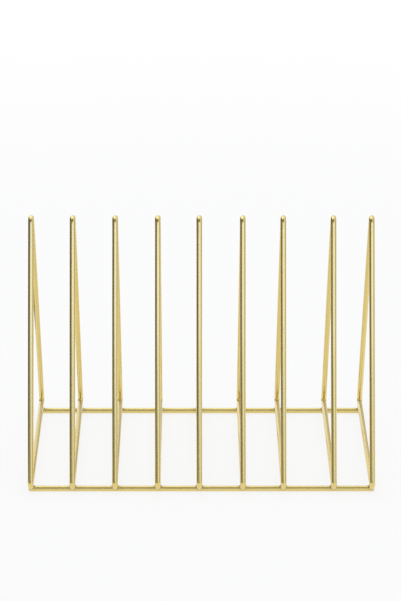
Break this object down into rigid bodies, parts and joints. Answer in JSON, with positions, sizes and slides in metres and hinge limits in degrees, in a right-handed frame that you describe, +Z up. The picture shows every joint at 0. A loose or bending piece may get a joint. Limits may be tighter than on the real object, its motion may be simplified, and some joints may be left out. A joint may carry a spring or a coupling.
{
  "type": "desktop book rack",
  "caption": "Open wire book rack for a desk: a row of upright triangular wire loops welded across front and rear rails, making slots that hold books on edge.",
  "frame": {"origin": "on the ground under the middle of the rack, at the centre of its footprint", "axes": "+X along the row of loops to the right as seen from the front, +Y from the front rail to the rear rail, +Z up"},
  "size_m": [0.301, 0.1894, 0.2244],
  "materials": {
    "divider_wire": "polished, clear lacquered, with fine drawing marks along the wire",
    "rail_wire": "polished, clear lacquered, with fine drawing marks along the wire",
    "weld": "satin, slightly darker where it was heated"
  },
  "bodies": {
    "root": {"divider_loop_1": "divider_wire", "divider_loop_2": "divider_wire", "divider_loop_3": "divider_wire", "divider_loop_4": "divider_wire", "divider_loop_5": "divider_wire", "divider_loop_6": "divider_wire", "divider_loop_7": "divider_wire", "divider_loop_8": "divider_wire", "divider_loop_9": "divider_wire", "front_rail": "rail_wire", "rear_rail": "rail_wire", "front_weld_1": "weld", "front_weld_2": "weld", "front_weld_3": "weld", "front_weld_4": "weld", "front_weld_5": "weld", "front_weld_6": "weld", "front_weld_7": "weld", "front_weld_8": "weld", "front_weld_9": "weld", "rear_weld_1": "weld", "rear_weld_2": "weld", "rear_weld_3": "weld", "rear_weld_4": "weld", "rear_weld_5": "weld", "rear_weld_6": "weld", "rear_weld_7": "weld", "rear_weld_8": "weld", "rear_weld_9": "weld"}
  },
  "joints": []
}
